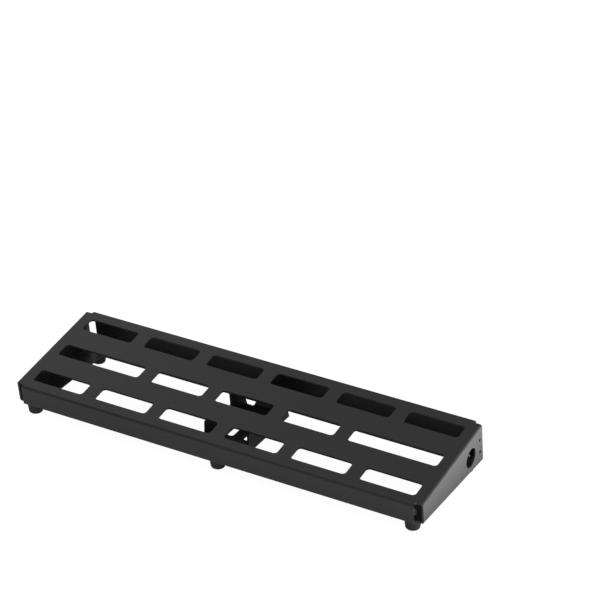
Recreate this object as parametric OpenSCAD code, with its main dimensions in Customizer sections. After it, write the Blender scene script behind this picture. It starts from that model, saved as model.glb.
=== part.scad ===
// Pedalboard: a wedge-shaped board folded from one steel sheet, with a slotted deck, a folded
// brace under its middle and six screwed-on rubber feet.
// Millimetres. +Z is up, the low front edge faces -Y, X = 0 is the middle of the length.

/* [Board] */
// Length of the board, left to right
board_length = 470; // [420:1:560]
// Depth of the deck, measured along its slope between the two sharp corners
deck_depth = 142; // [138:1:150]
// Tilt of the deck above the floor, in degrees
tilt = 9.2; // [6:0.1:12]
// Height of the sharp front corner above the bottom lips
front_height = 23.5; // [20:0.5:32]
// Thickness of the sheet
sheet = 2; // [1.5:0.1:2.2]
// Outer radius of the folds in the board
fold_radius = 2.5; // [2.3:0.1:4.5]
// Width of the bottom lips under the two sides
side_lip = 24.5; // [22:0.5:30]
// Width of the bottom lips under the front and the back
end_lip = 19; // [18:0.5:22]
// Gap between neighbouring lips
lip_gap = 2; // [1:0.5:4]
// Distance from the side's outer face to the end of the front wall
front_relief = 8.5; // [6:0.5:10]
// Distance from the side's outer face to the end of the back wall
back_relief = 8.5; // [6:0.5:10]
// Distance along the slope from the sharp front corner to the ends of the side walls
front_side_relief = 5.5; // [5:0.5:6.5]
// Distance along the slope from the sharp back corner to the ends of the side walls
back_side_relief = 4.5; // [4:0.5:6.5]

/* [Slots] */
// Length of a single slot
slot_length = 61; // [52:1:62]
// Distance between the middles of neighbouring slots in one row
slot_pitch = 76.5; // [72:0.5:77]
// Width of every slot, along the slope
slot_width = 19; // [15:0.5:20]
// Radius of the slots' corners
slot_corner = 4; // [2:0.5:6]
// Number of slots in the front row and in the back row
slots_per_row = 6; // [4:2:6]
// Distance from the sharp front and back corners to the outer rows
row_margin = 14; // [12:0.5:15]

/* [Cable hole] */
// Diameter of the cable hole in the right side
cable_hole_d = 21; // [16:0.5:22]
// Distance of the cable hole along the slope from the front corner
cable_hole_v = 110.6; // [108:0.1:114]
// Depth of the cable hole's middle under the deck's top face
cable_hole_w = 22.7; // [20:0.1:24]
// Diameter of the two small holes behind it
small_hole_d = 3.8; // [3:0.1:4.5]
// Distance of the small holes behind the cable hole's middle
small_hole_back = 20.6; // [18:0.1:21]
// Half the distance between the two small holes
small_hole_half = 7.6; // [6:0.1:8]

/* [Brace] */
// Outer width of the brace
brace_width = 52; // [46:1:56]
// Outer radius of the brace's folds
brace_fold = 2.5; // [2.3:0.1:3.5]
// Inward width of the brace's top tabs
top_tab = 12; // [8:0.5:16]
// Distance from the front corner to the brace's floor, level
brace_front = 34; // [32:0.5:36]
// Length of the brace's floor
brace_length = 84; // [80:0.5:86]
// Start of the front leg's top tab, along the slope
front_leg_start = 36; // [35:0.5:40]
// End of the front leg's top, along the slope
front_leg_end = 56.5; // [54:0.5:58]
// Start of the rear leg's top, along the slope
rear_leg_start = 84; // [82:0.5:88]
// End of the rear leg's top, along the slope
rear_leg_end = 104; // [100:0.5:106]
// Depth of the window between the legs, under the deck's top face
window_depth = 24; // [20:0.5:25]
// Radius of the window's lower corners
window_corner = 7; // [4:0.5:8]
// Width of the rib along the middle of the brace's floor
rib_width = 11.5; // [9:0.5:18]
// Distance of the rib to the right of the board's middle
rib_shift = 0.9; // [0:0.1:1.5]
// Width of each cut-out beside the rib
cutout_width = 7.5; // [7:0.5:12]
// Length of the cut-outs
cutout_length = 43; // [30:1:50]
// Width of the tabs that carry the middle feet
foot_tab_width = 34; // [26:1:40]

/* [Feet] */
// Height of a rubber foot
foot_height = 12.5; // [10:0.5:16]
// Diameter of a foot at its top
foot_top_d = 18; // [17:0.5:20]
// Diameter of a foot near the floor
foot_bottom_d = 15; // [14:0.5:16]
// Rounding of the foot's lower edge
foot_edge = 2.5; // [1:0.5:3]
// Diameter of the recess for the screw's head
recess_d = 8.6; // [8.4:0.1:9]
// Thickness of the rubber above the recess
rubber_floor = 4; // [3:0.5:5]
// Distance of the outer feet from the side's outer face
foot_inset_x = 15; // [13:0.5:16]
// Distance of the outer feet from the outer lower edge of the front and back walls
foot_inset_y = 12; // [11:0.5:13]
// Distance of the middle feet from the same edges
middle_inset_y = 13.5; // [11:0.5:14]

/* [Foot screws] */
// Diameter of the screw's shank
screw_d = 4; // [3.5:0.5:4]
// Diameter of the screw's pan head
head_d = 7.6; // [7:0.1:7.8]
// Height of the screw's head
head_h = 2.6; // [2:0.1:3]
// Length of the shank under the head
shank_length = 14; // [13:0.5:16]
// Outer diameter of the steel washer
washer_d = 8.2; // [8:0.1:8.3]
// Thickness of the steel washer
washer_h = 1; // [0.8:0.1:1.2]
// Width of the lock nut across its flats
nut_flats = 7; // [6.5:0.5:8]
// Height of the lock nut's hexagon
nut_h = 3.2; // [2.8:0.1:4]
// Height of the lock nut's collar
collar_h = 1.5; // [1:0.1:2]

/* [Hidden] */
$fn = 64;
// Clearance between the shank and what it passes through
shank_gap = 0.15;
// Clearance between the shank and the nut's bore
nut_gap = 0.02;
// Rounding of small inner and outer sheet corners
corner = 3;
// How far a cutting shape runs past the sheet on each side
past = 1;
// Angle by which the lower folds of the end walls run on into their lips
tuck = 8;
// How far these lips start inside their folds, and how far their faces are set in
lip_start_in = 0.2;
lip_set_in = 0.01;
// Straight length by which a fold runs on into a panel that is cut at another angle
tail = 1;
// Rounding of the reliefs at the four corners of the deck
relief_corner = 2;
// How far a side of the brace runs on behind the tab of its rear leg
tab_step = 1;

cos_t = cos(tilt);
sin_t = sin(tilt);
half_length = board_length / 2;

// Heights above the floor
lip_z = foot_height;
corner_z = lip_z + front_height;
back_corner_z = corner_z + deck_depth * sin_t;

// Distance down each end wall, from the sharp corner to the middle of its lower fold
front_run = (corner_z - lip_z + fold_radius * sin_t - fold_radius) / cos_t;
back_run = (back_corner_z - lip_z - fold_radius * sin_t - fold_radius) / cos_t;

// The sharp front corner's Y, which centres the whole board on Y = 0
corner_y = -(deck_depth * cos_t + back_run * sin_t + fold_radius * sin_t) / 2;
back_corner_y = corner_y + deck_depth * cos_t;

// Middles of the lower folds of the front wall and of the back wall
front_fold_y = corner_y + front_run * sin_t + fold_radius * cos_t;
back_fold_y = back_corner_y + back_run * sin_t - fold_radius * cos_t;

// Where the outer faces of the end walls would meet the plane of the lips
front_edge_y = corner_y + front_height * tan(tilt);
back_edge_y = back_corner_y + (back_corner_z - lip_z) * tan(tilt);

// Slot rows
row_step = (deck_depth - 2 * row_margin - slot_width) / 2;
row_v = [for (i = [0:2]) row_margin + i * row_step];
first_slot = -(slots_per_row - 1) / 2 * slot_pitch;

// Brace
brace_half = brace_width / 2;
brace_y = corner_y + brace_front;
brace_end_y = brace_y + brace_length;
// Depths under the deck's top face where a side's upper folds end, and where its panel ends
fold_w = -sheet - brace_fold;
panel_w = fold_w - tail / 2;
// Length of the short slope by which a foot tab climbs onto the lip
joggle = 3;

// Feet
foot_x = [-(half_length - foot_inset_x), 0, half_length - foot_inset_x];
foot_inset = [foot_inset_y, middle_inset_y, foot_inset_y];
foot_y = [[for (i = foot_inset) front_edge_y + i], [for (i = foot_inset) back_edge_y - i]];
SIDES = ["left", "center", "right"];
ENDS = ["front", "rear"];
washer_z = lip_z - rubber_floor - washer_h;

// Colours
sheet_color = [0.16, 0.16, 0.16];
rubber_color = [0.09, 0.09, 0.09];
steel_color = [0.72, 0.73, 0.75];

// [Y, Z] of a point v along the slope and w above the deck's top face
function on_slope(v, w) = [corner_y + v * cos_t - w * sin_t, corner_z + v * sin_t + w * cos_t];

// Height, square to the deck, of the point at v along the slope that is z above the floor
function depth_at(v, z) = (z - corner_z - v * sin_t) / cos_t;

// Puts children, drawn with Y along the slope and Z square to the deck, into place
module on_deck() {
    translate([0, corner_y, corner_z]) rotate([tilt, 0, 0]) children();
}

// Extrudes a profile drawn as [Y, Z] along X
module along_x(from, to) {
    translate([from, 0, 0]) rotate([90, 0, 90]) linear_extrude(to - from) children();
}

// Extrudes a profile drawn as [X, Z] along Y
module along_y(from, to) {
    translate([0, from, 0]) mirror([0, 1, 0]) rotate([90, 0, 0])
        linear_extrude(to - from) children();
}

// A rectangle given by its limits
module strip(left, right, low, high) {
    polygon([[left, low], [right, low], [right, high], [left, high]]);
}

// Copies children to the other side of X = 0
module both_sides() {
    children();
    mirror([1, 0, 0]) children();
}

// Section of a fold: a ring sector about the origin, from angle a to angle b
module fold(radius, thickness, a, b) {
    reach = 2 * radius;
    mid = (a + b) / 2;
    intersection() {
        difference() {
            circle(radius);
            circle(radius - thickness);
        }
        polygon([[0, 0], for (t = [a, mid, b]) reach * [cos(t), sin(t)]]);
    }
}

// A rectangle with round corners, its lower left corner at the origin
module round_rect(width, height, radius) {
    translate([radius, 0]) square([width - 2 * radius, height]);
    translate([0, radius]) square([width, height - 2 * radius]);
    for (x = [radius, width - radius], y = [radius, height - radius])
        translate([x, y]) circle(radius);
}

// What is cut from a sheet's corner at the origin to round it
module corner_waste(radius) {
    difference() {
        translate([-past, -past]) square(radius + past);
        translate([radius, radius]) circle(radius);
    }
}

// ---- Folded board ----

// One row of full slots at the slope position v
module outer_row(v) {
    for (i = [0:slots_per_row - 1])
        translate([first_slot + i * slot_pitch - slot_length / 2, v])
            round_rect(slot_length, slot_width, slot_corner);
}

// The middle row is shifted by half a pitch, and its two end slots are longer
module middle_row(v) {
    for (i = [1:slots_per_row - 3])
        translate([first_slot + (i + 0.5) * slot_pitch - slot_length / 2, v])
            round_rect(slot_length, slot_width, slot_corner);
    both_sides()
        translate([first_slot - slot_length / 2, v])
            round_rect(slot_length + slot_pitch / 2, slot_width, slot_corner);
}

// Corner relief of the flat deck, between the ends of two walls
module relief(x_size, y_size) {
    difference() {
        square([x_size, y_size]);
        translate([x_size, y_size]) rotate(180) corner_waste(relief_corner);
    }
}

// Outline of the flat deck inside its four folds, seen square to it
module deck_plan() {
    difference() {
        translate([-half_length + fold_radius, fold_radius])
            square([board_length - 2 * fold_radius, deck_depth - 2 * fold_radius]);
        both_sides() translate([-half_length, 0]) relief(front_relief, front_side_relief);
        both_sides() translate([-half_length, deck_depth]) mirror([0, 1])
            relief(back_relief, back_side_relief);
        outer_row(row_v[0]);
        middle_row(row_v[1]);
        outer_row(row_v[2]);
    }
}

// The deck with its upper folds
module deck_plate() {
    on_deck() {
        translate([0, 0, -sheet]) linear_extrude(sheet) deck_plan();
        along_x(-half_length + front_relief, half_length - front_relief)
            translate([fold_radius, -fold_radius]) fold(fold_radius, sheet, 90, 180);
        along_x(-half_length + back_relief, half_length - back_relief)
            translate([deck_depth - fold_radius, -fold_radius]) fold(fold_radius, sheet, 0, 90);
        both_sides() along_y(front_side_relief, deck_depth - back_side_relief)
            translate([half_length - fold_radius, -fold_radius]) fold(fold_radius, sheet, 0, 90);
    }
}

// Lip under the front or back wall, from its fold at Y = 0 to Y = depth
module end_lip_plate(depth) {
    reach = half_length - side_lip - lip_gap;
    translate([0, 0, lip_set_in - fold_radius]) linear_extrude(sheet) difference() {
        strip(-reach, reach, -lip_start_in, depth);
        both_sides() translate([-reach, depth]) mirror([0, 1]) corner_waste(corner);
    }
}

// Front wall, its lower fold and its lip
module front_wall() {
    on_deck() {
        along_x(-half_length + front_relief, half_length - front_relief) {
            strip(0, sheet, -front_run, -fold_radius);
            translate([fold_radius, -front_run])
                fold(fold_radius, sheet, 180, 270 - tilt + tuck);
        }
        translate([0, fold_radius, -front_run]) rotate([-tilt, 0, 0])
            end_lip_plate(front_edge_y + end_lip - front_fold_y);
    }
}

// Back wall, its lower fold and its lip
module back_wall() {
    on_deck() {
        along_x(-half_length + back_relief, half_length - back_relief) {
            strip(deck_depth - sheet, deck_depth, -back_run, -fold_radius);
            translate([deck_depth - fold_radius, -back_run])
                fold(fold_radius, sheet, -90 - tilt - tuck, 0);
        }
        translate([0, deck_depth - fold_radius, -back_run]) rotate([-tilt, 0, 0])
            mirror([0, 1, 0]) end_lip_plate(back_fold_y - (back_edge_y - end_lip));
    }
}

// Right side wall, its lower fold and its lip
module side_wall() {
    fold_z = lip_z + fold_radius;
    front_v = front_side_relief;
    back_v = deck_depth - back_side_relief;
    wall_z = fold_z + tail / 2;
    lip_start = on_slope(front_v, depth_at(front_v, fold_z))[0];
    lip_length = on_slope(back_v, depth_at(back_v, fold_z + tail))[0] - lip_start;
    on_deck() along_x(half_length - sheet, half_length)
        polygon([
            [front_v, -fold_radius],
            [back_v, -fold_radius],
            [back_v, depth_at(back_v, wall_z)],
            [front_v, depth_at(front_v, wall_z)]
        ]);
    translate([0, lip_start, 0]) {
        along_y(0, lip_length) {
            translate([half_length - fold_radius, fold_z]) fold(fold_radius, sheet, -90, 0);
            strip(half_length - sheet, half_length, fold_z, fold_z + tail);
        }
        translate([half_length - side_lip, 0, lip_z]) linear_extrude(sheet) difference() {
            square([side_lip - fold_radius, lip_length]);
            corner_waste(corner);
            translate([0, lip_length]) mirror([0, 1]) corner_waste(corner);
        }
    }
}

// Cable hole and the two small holes behind it, through the right side wall
module side_holes() {
    on_deck() along_x(half_length - sheet - past, half_length + past) {
        translate([cable_hole_v, -cable_hole_w]) circle(d = cable_hole_d);
        for (dw = [-small_hole_half, small_hole_half])
            translate([cable_hole_v + small_hole_back, -cable_hole_w + dw])
                circle(d = small_hole_d);
    }
}

// Screw holes at the six feet, from one height to another
module foot_holes(from, to) {
    for (e = [0:1], s = [0:2])
        translate([foot_x[s], foot_y[e][s], from])
            cylinder(d = screw_d + 2 * shank_gap, h = to - from);
}

module deck_shell() {
    color(sheet_color) difference() {
        union() {
            deck_plate();
            front_wall();
            back_wall();
            both_sides() side_wall();
        }
        side_holes();
        foot_holes(lip_z - past, lip_z + sheet + past);
    }
}

// ---- Brace under the middle ----

// Side of the brace: two legs that reach the deck, joined along the bottom
module brace_side() {
    fold_z = lip_z + brace_fold;
    // Where the upright front edge reaches the top of the panel, along the slope
    front_v = (brace_front + panel_w * sin_t) / cos_t;
    along_x(brace_half - sheet, brace_half)
        polygon([
            [brace_y, fold_z],
            [brace_end_y, fold_z],
            on_slope(rear_leg_end + tab_step, panel_w),
            on_slope(front_v, panel_w)
        ]);
    along_y(brace_y, brace_end_y)
        translate([brace_half - brace_fold, fold_z]) fold(brace_fold, sheet, -90, 0);
}

// Window between the two legs of a side
module brace_window() {
    on_deck() along_x(brace_half - sheet - past, brace_half + past)
        translate([front_leg_end, -window_depth])
            round_rect(rear_leg_start - front_leg_end, window_depth + window_corner,
                       window_corner);
}

// Tab folded inwards on top of one leg, flat against the underside of the deck
module leg_tab(from, to) {
    on_deck() {
        along_y(from, to) {
            translate([brace_half - brace_fold, fold_w]) fold(brace_fold, sheet, 0, 90);
            strip(brace_half - sheet, brace_half, fold_w - tail, fold_w);
        }
        translate([brace_half - brace_fold - top_tab, from, -2 * sheet])
            linear_extrude(sheet) difference() {
                square([top_tab, to - from]);
                corner_waste(corner);
                translate([0, to - from]) mirror([0, 1]) corner_waste(corner);
            }
    }
}

// Floor of the brace, with a cut-out on each side of the middle rib
module brace_floor() {
    flat_half = brace_half - brace_fold;
    translate([0, brace_y, lip_z]) linear_extrude(sheet) difference() {
        translate([-flat_half, 0]) square([2 * flat_half, brace_length]);
        translate([rib_shift, (brace_length - cutout_length) / 2]) both_sides()
            translate([rib_width / 2, 0]) round_rect(cutout_width, cutout_length, corner);
    }
}

// Tab that climbs from the floor of the brace onto a lip; reach is its end's distance
module foot_tab(reach) {
    along_x(-foot_tab_width / 2, foot_tab_width / 2) polygon([
        [0, 0], [0, sheet],
        [corner, sheet], [corner + joggle, 2 * sheet], [reach, 2 * sheet], [reach, sheet],
        [corner + joggle + 0.5, sheet], [corner + 0.5, 0]
    ]);
}

module center_brace() {
    tab_end = fold_radius + sheet;
    color(sheet_color) difference() {
        union() {
            brace_floor();
            both_sides() difference() {
                union() {
                    brace_side();
                    leg_tab(front_leg_start, front_leg_end);
                    leg_tab(rear_leg_start, rear_leg_end);
                }
                brace_window();
            }
            translate([0, brace_y, lip_z]) mirror([0, 1, 0])
                foot_tab(brace_y - front_edge_y - tab_end);
            translate([0, brace_end_y, lip_z])
                foot_tab(back_edge_y - brace_end_y - tab_end);
        }
        foot_holes(lip_z - past, lip_z + 2 * sheet + past);
    }
}

// ---- Feet and their screws ----

// Thickness of sheet that the screw of a foot on side s passes through
function clamped(s) = s == 1 ? 2 * sheet : sheet;

// Tapered rubber foot with a recess for the screw's head
module rubber_foot() {
    top_r = foot_top_d / 2;
    bottom_r = foot_bottom_d / 2;
    color(rubber_color) difference() {
        rotate_extrude() {
            square([bottom_r - foot_edge, foot_edge]);
            intersection() {
                translate([bottom_r - foot_edge, foot_edge]) circle(foot_edge);
                square([bottom_r, foot_edge]);
            }
            polygon([[0, foot_edge], [bottom_r, foot_edge], [top_r, foot_height], [0, foot_height]]);
        }
        translate([0, 0, -past]) cylinder(d = recess_d, h = foot_height - rubber_floor + past);
        cylinder(d = screw_d + 2 * shank_gap, h = foot_height + past);
    }
}

// Flat steel washer between the screw's head and the rubber
module steel_washer() {
    color(steel_color) difference() {
        cylinder(d = washer_d, h = washer_h);
        translate([0, 0, -past]) cylinder(d = screw_d + 2 * shank_gap, h = washer_h + 2 * past);
    }
}

// Pan-head screw, its head's upper face at Z = 0 and its shank pointing up
module foot_screw() {
    head_r = head_d / 2;
    // Radius of the dome that rounds the head
    dome_r = (head_r * head_r + head_h * head_h) / (2 * head_h);
    // Width and depth of the cross recess
    cross = [0.55 * head_d, 0.14 * head_d, 0.5 * head_h];
    color(steel_color) {
        difference() {
            rotate_extrude() intersection() {
                translate([0, -head_h + dome_r]) circle(dome_r);
                translate([0, -head_h]) square([head_r, head_h]);
            }
            for (a = [0, 90])
                rotate(a) translate([0, 0, -head_h + cross[2] / 2 - past / 2])
                    cube([cross[0], cross[1], cross[2] + past], center = true);
        }
        cylinder(d = screw_d, h = shank_length);
    }
}

// Hexagon lock nut with a round collar
module lock_nut() {
    collar_d = nut_flats - 0.8;
    color(steel_color) difference() {
        union() {
            cylinder(d = nut_flats / cos(30), h = nut_h, $fn = 6);
            cylinder(d = collar_d, h = nut_h + collar_h);
        }
        translate([0, 0, -past]) cylinder(d = screw_d + 2 * nut_gap, h = nut_h + collar_h + 2 * past);
    }
}

deck_shell();
center_brace();
for (e = [0:1], s = [0:2]) {
    place = str("_", ENDS[e], "_", SIDES[s]);
    translate([foot_x[s], foot_y[e][s], 0]) rubber_foot();
    translate([foot_x[s], foot_y[e][s], washer_z]) steel_washer();
    translate([foot_x[s], foot_y[e][s], washer_z]) foot_screw();
    translate([foot_x[s], foot_y[e][s], lip_z + clamped(s)]) lock_nut();
}
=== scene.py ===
"""Looks of the slotted pedalboard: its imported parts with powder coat, rubber and zinc finishes,
on a plain pale floor in soft studio light."""

import bpy
from mathutils import Matrix, Vector

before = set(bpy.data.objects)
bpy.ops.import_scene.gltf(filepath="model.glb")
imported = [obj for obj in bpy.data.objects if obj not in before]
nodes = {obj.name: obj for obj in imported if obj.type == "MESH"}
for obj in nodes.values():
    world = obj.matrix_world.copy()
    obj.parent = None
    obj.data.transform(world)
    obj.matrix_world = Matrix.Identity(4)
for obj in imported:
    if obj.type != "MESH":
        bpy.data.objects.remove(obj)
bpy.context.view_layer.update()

scene = bpy.context.scene


# ---- Node helpers ----

class Tree:
    """A material's node tree, with short calls to add and link nodes."""

    def __init__(self, name):
        self.material = bpy.data.materials.new(name)
        self.material.use_nodes = True
        self.tree = self.material.node_tree
        self.tree.nodes.clear()

    def add(self, kind, inputs=None, **settings):
        node = self.tree.nodes.new(kind)
        for key, value in settings.items():
            setattr(node, key, value)
        for key, value in (inputs or {}).items():
            if isinstance(value, bpy.types.NodeSocket):
                self.tree.links.new(value, node.inputs[key])
            else:
                node.inputs[key].default_value = value
        return node

    def noise(self, scale, detail, roughness, at):
        node = self.add("ShaderNodeTexNoise",
                        {"Vector": at, "Scale": scale, "Detail": detail, "Roughness": roughness})
        return node.outputs["Fac"]

    def map_range(self, value, low, high, to_low, to_high):
        node = self.add("ShaderNodeMapRange", {"Value": value, "From Min": low, "From Max": high,
                                               "To Min": to_low, "To Max": to_high})
        return node.outputs["Result"]

    def math(self, operation, a, b=0.0):
        return self.add("ShaderNodeMath", {0: a, 1: b}, operation=operation).outputs[0]

    def mix(self, share, a, b):
        node = self.add("ShaderNodeMix", data_type="RGBA")
        for key, value in ((0, share), (6, a), (7, b)):
            if isinstance(value, bpy.types.NodeSocket):
                self.tree.links.new(value, node.inputs[key])
            else:
                node.inputs[key].default_value = value
        return node.outputs[2]

    def bump(self, height, distance, strength, normal=None):
        inputs = {"Height": height, "Distance": distance, "Strength": strength}
        if normal is not None:
            inputs["Normal"] = normal
        return self.add("ShaderNodeBump", inputs).outputs["Normal"]

    def finish(self, **inputs):
        shader = self.add("ShaderNodeBsdfPrincipled", inputs)
        self.add("ShaderNodeOutputMaterial", {"Surface": shader.outputs["BSDF"]})
        return self.material


def grey(value, warm=0.0):
    return (value * (1 + warm), value, value * (1 - warm), 1.0)


# ---- Materials ----

def powder_coat():
    """Satin black powder coat: fine grain, soft orange peel, and cut edges rounded by the bevel
    normal and painted lighter, partly as wear and partly as a painted highlight.
    """
    t = Tree("powder_coat")
    at = t.add("ShaderNodeTexCoord").outputs["Object"]
    peel = t.noise(700.0, 2.0, 0.5, at)
    grain = t.noise(2600.0, 2.0, 0.6, at)
    cloud = t.noise(9.0, 3.0, 0.5, at)
    edge = t.add("ShaderNodeBevel", {"Radius": 0.0004}, samples=4).outputs["Normal"]
    surface = t.add("ShaderNodeNewGeometry").outputs["Normal"]
    turn = t.add("ShaderNodeVectorMath", {0: edge, 1: surface}, operation="DOT_PRODUCT")
    # Cut edges, found from the bevel normal, are painted a little lighter: a little wear and a
    # painted highlight where the edges catch light.
    edge_wear_and_highlight = t.map_range(turn.outputs["Value"], 0.995, 0.8, 0.0, 1.0)
    tone = t.mix(t.map_range(cloud, 0.3, 0.7, 0.0, 1.0), grey(0.008), grey(0.011))
    speck = t.mix(t.map_range(grain, 0.55, 0.75, 0.0, 0.5), tone, grey(0.022))
    colour = t.mix(t.math("MULTIPLY", edge_wear_and_highlight, 0.4), speck, grey(0.03))
    height = t.math("ADD", t.math("MULTIPLY", peel, 0.6), t.math("MULTIPLY", grain, 0.4))
    normal = t.bump(height, 0.00006, 1.0, edge)
    return t.finish(**{"Base Color": colour, "Normal": normal,
                       "Roughness": t.map_range(peel, 0.3, 0.7, 0.42, 0.52),
                       "Specular IOR Level": 0.4})


def rubber():
    """Matt moulded rubber with a fine tooth and a little dust."""
    t = Tree("moulded_rubber")
    at = t.add("ShaderNodeTexCoord").outputs["Object"]
    tooth = t.noise(1800.0, 3.0, 0.6, at)
    dust = t.noise(160.0, 4.0, 0.6, at)
    colour = t.mix(t.map_range(dust, 0.45, 0.75, 0.0, 0.6), grey(0.012), grey(0.035, 0.03))
    return t.finish(**{"Base Color": colour, "Normal": t.bump(tooth, 0.00012, 0.8),
                       "Roughness": t.map_range(dust, 0.3, 0.7, 0.62, 0.8),
                       "Specular IOR Level": 0.4})


def zinc():
    """Bright zinc plating with turned rings and a faint bloom."""
    t = Tree("zinc_plating")
    at = t.add("ShaderNodeTexCoord").outputs["Object"]
    squeeze = t.add("ShaderNodeMapping", {"Vector": at, "Scale": (1.0, 1.0, 14.0)})
    rings = t.noise(420.0, 3.0, 0.6, squeeze.outputs["Vector"])
    bloom = t.noise(300.0, 3.0, 0.5, at)
    colour = t.mix(t.map_range(bloom, 0.35, 0.7, 0.0, 1.0),
                   (0.62, 0.63, 0.65, 1.0), (0.48, 0.49, 0.52, 1.0))
    return t.finish(**{"Base Color": colour, "Metallic": 1.0,
                       "Normal": t.bump(rings, 0.00004, 0.6),
                       "Roughness": t.map_range(bloom, 0.3, 0.7, 0.25, 0.4)})


coat, foot_rubber, plating = powder_coat(), rubber(), zinc()
finishes = {"deck": coat, "center": coat, "foot": foot_rubber,
            "washer": plating, "screw": plating, "nut": plating}
for name, node in nodes.items():
    node.data.materials.clear()
    node.data.materials.append(finishes[name.split("_")[0]])


# ---- Floor ----

FLOOR_REACH = 30.0
FLOOR_SEEN = 0.955     # how bright the camera sees the paper
GLOW_OPEN = 0.63       # its glow on the board, in front and behind
# painted shadow: the floor's glow is dimmed where the board stands over it
GLOW_UNDER_PAINTED_SHADOW = 0.2       # the same, underneath the board
# painted pool of light: extra glow where the window light would fall beside the board
GLOW_RIGHT_PAINTED_POOL = 2.9       # what is added to the right of the board
UNDER_X = (0.22, 0.245)    # distances from the middle between which the glow changes
UNDER_Y = (0.06, 0.085)
RIGHT_X = (0.235, 0.3)


def make_floor():
    """White paper floor. To the camera it is evenly lit. Its glow on the board is dim underneath
    the board, a painted shadow of the board, even in front and behind, and brightest on the right,
    a painted pool of the window light."""
    mesh = bpy.data.meshes.new("floor")
    corners = [(x * FLOOR_REACH, y * FLOOR_REACH, 0)
               for x, y in ((-1, -1), (1, -1), (1, 1), (-1, 1))]
    mesh.from_pydata(corners, [], [(0, 1, 2, 3)])
    floor = bpy.data.objects.new("floor", mesh)
    scene.collection.objects.link(floor)
    t = Tree("pale_floor")
    at = t.add("ShaderNodeSeparateXYZ", {0: t.add("ShaderNodeTexCoord").outputs["Object"]})
    x, y = at.outputs[0], at.outputs[1]
    # mask of the painted shadow under the board, fading out past its edges
    under = t.math("MULTIPLY",
                   t.map_range(t.math("ABSOLUTE", x), *UNDER_X, 1.0, 0.0),
                   t.map_range(t.math("ABSOLUTE", y), *UNDER_Y, 1.0, 0.0))
    # glow = painted shadow under the board plus a painted pool of window light on the right
    glow = t.math("ADD", t.map_range(under, 0.0, 1.0, GLOW_OPEN, GLOW_UNDER_PAINTED_SHADOW),
                  t.map_range(x, *RIGHT_X, 0.0, GLOW_RIGHT_PAINTED_POOL))
    seen = t.add("ShaderNodeLightPath").outputs["Is Camera Ray"]
    strength = t.add("ShaderNodeMix", {0: seen, 2: glow, 3: FLOOR_SEEN}).outputs[0]
    paper = t.add("ShaderNodeBsdfPrincipled", {
        "Base Color": grey(0.12), "Roughness": 1.0, "Specular IOR Level": 0.0,
        "Emission Color": grey(1.0), "Emission Strength": strength})
    # From below, the paper is clear, so that the board's underside can be looked at
    clear = t.add("ShaderNodeBsdfTransparent")
    below = t.add("ShaderNodeNewGeometry").outputs["Backfacing"]
    surface = t.add("ShaderNodeMixShader", {0: below, 1: paper.outputs["BSDF"],
                                            2: clear.outputs["BSDF"]})
    t.add("ShaderNodeOutputMaterial", {"Surface": surface.outputs["Shader"]})
    floor.data.materials.append(t.material)


make_floor()


# ---- Light ----

def make_world():
    """Grey studio, a little lighter behind the board and bright towards the window on the right."""
    world = bpy.data.worlds.new("studio")
    world.use_nodes = True
    tree = world.node_tree
    at = tree.nodes.new("ShaderNodeTexCoord")
    split = tree.nodes.new("ShaderNodeSeparateXYZ")
    ramp = tree.nodes.new("ShaderNodeMapRange")
    side = tree.nodes.new("ShaderNodeMapRange")
    total = tree.nodes.new("ShaderNodeMath")
    for node, limits in ((ramp, (-0.4, 0.6, 0.3, 0.42)), (side, (-0.15, 0.4, 0.0, 1.2))):
        for socket, value in zip(("From Min", "From Max", "To Min", "To Max"), limits):
            node.inputs[socket].default_value = value
    tree.links.new(at.outputs["Generated"], split.inputs[0])
    tree.links.new(split.outputs[1], ramp.inputs["Value"])
    tree.links.new(split.outputs[0], side.inputs["Value"])
    tree.links.new(ramp.outputs["Result"], total.inputs[0])
    tree.links.new(side.outputs["Result"], total.inputs[1])
    background = tree.nodes["Background"]
    background.inputs["Color"].default_value = grey(1.0)
    tree.links.new(total.outputs[0], background.inputs["Strength"])
    scene.world = world


def area_light(name, place, size, power, warm=0.0):
    light = bpy.data.lights.new(name, "AREA")
    light.shape = "RECTANGLE"
    light.size, light.size_y = size
    light.energy = power
    light.color = grey(1.0, warm)[:3]
    lamp = bpy.data.objects.new(name, light)
    lamp.location = place
    lamp.rotation_mode = "QUATERNION"
    lamp.rotation_quaternion = (-Vector(place)).to_track_quat("-Z", "Y")
    scene.collection.objects.link(lamp)


make_world()
area_light("key_light", (-1.1, 0.9, 0.9), (0.9, 0.7), 1.6)
area_light("window_light", (1.2, 1.3, 0.35), (0.9, 0.4), 2.0, 0.03)
scene.view_settings.view_transform = "Standard"


# ---- Camera ----

def make_camera():
    lens = bpy.data.cameras.new("camera")
    lens.sensor_width = 36.0
    lens.lens = 145.495
    lens.clip_end = 100.0
    camera = bpy.data.objects.new("camera", lens)
    across = Vector((0.8752183, 0.4836129, 0.0105579))
    down = Vector((0.2374749, -0.4105505, -0.8803715))
    ahead = Vector((-0.4214245, 0.7730245, -0.4741672))
    turn = Matrix((across, -down, -ahead)).transposed().to_4x4()
    camera.matrix_world = Matrix.Translation((1.062438, -1.836939, 1.307398)) @ turn
    scene.collection.objects.link(camera)
    scene.camera = camera


make_camera()
